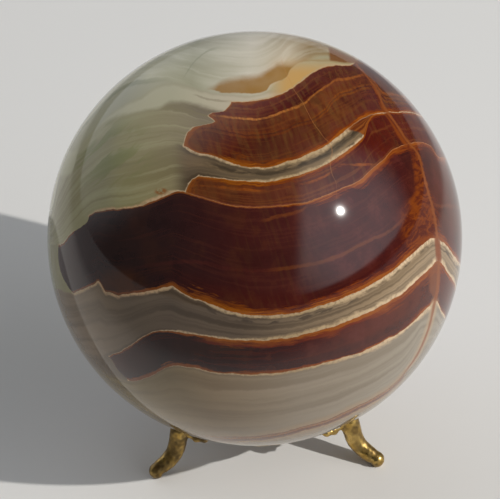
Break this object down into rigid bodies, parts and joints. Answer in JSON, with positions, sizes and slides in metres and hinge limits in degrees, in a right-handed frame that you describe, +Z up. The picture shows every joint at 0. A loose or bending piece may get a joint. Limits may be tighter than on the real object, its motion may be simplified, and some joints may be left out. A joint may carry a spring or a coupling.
{
  "type": "onyx sphere on stand",
  "caption": "Polished banded onyx sphere resting loose in the ring of a small cast brass stand with curved legs and beaded scroll braces.",
  "frame": {"origin": "on the table top, under the centre of the sphere", "axes": "+Z up; -Y towards the viewer; one leg stands at +Y and the other two at the front corners"},
  "size_m": [0.1, 0.1, 0.1109],
  "materials": {
    "onyx": "mirror-polished banded onyx: grey-green and cream translucent stone with red-brown bands edged in orange",
    "ring_brass": "cast brass, darkened with age, rubbed bright on the edges",
    "leg_brass": "cast brass with a lumpy surface, bright on the high spots and dark brown in the hollows"
  },
  "bodies": {
    "stand": {"support_ring": "ring_brass", "leg_back": "leg_brass", "leg_right": "leg_brass", "leg_left": "leg_brass"},
    "sphere": {"onyx_sphere": "onyx"}
  },
  "joints": [
    {"name": "sphere_lift", "type": "slide", "parent": "stand", "child": "sphere", "axis": [0, 0, 1], "range_m": [0, 0.04]}
  ]
}
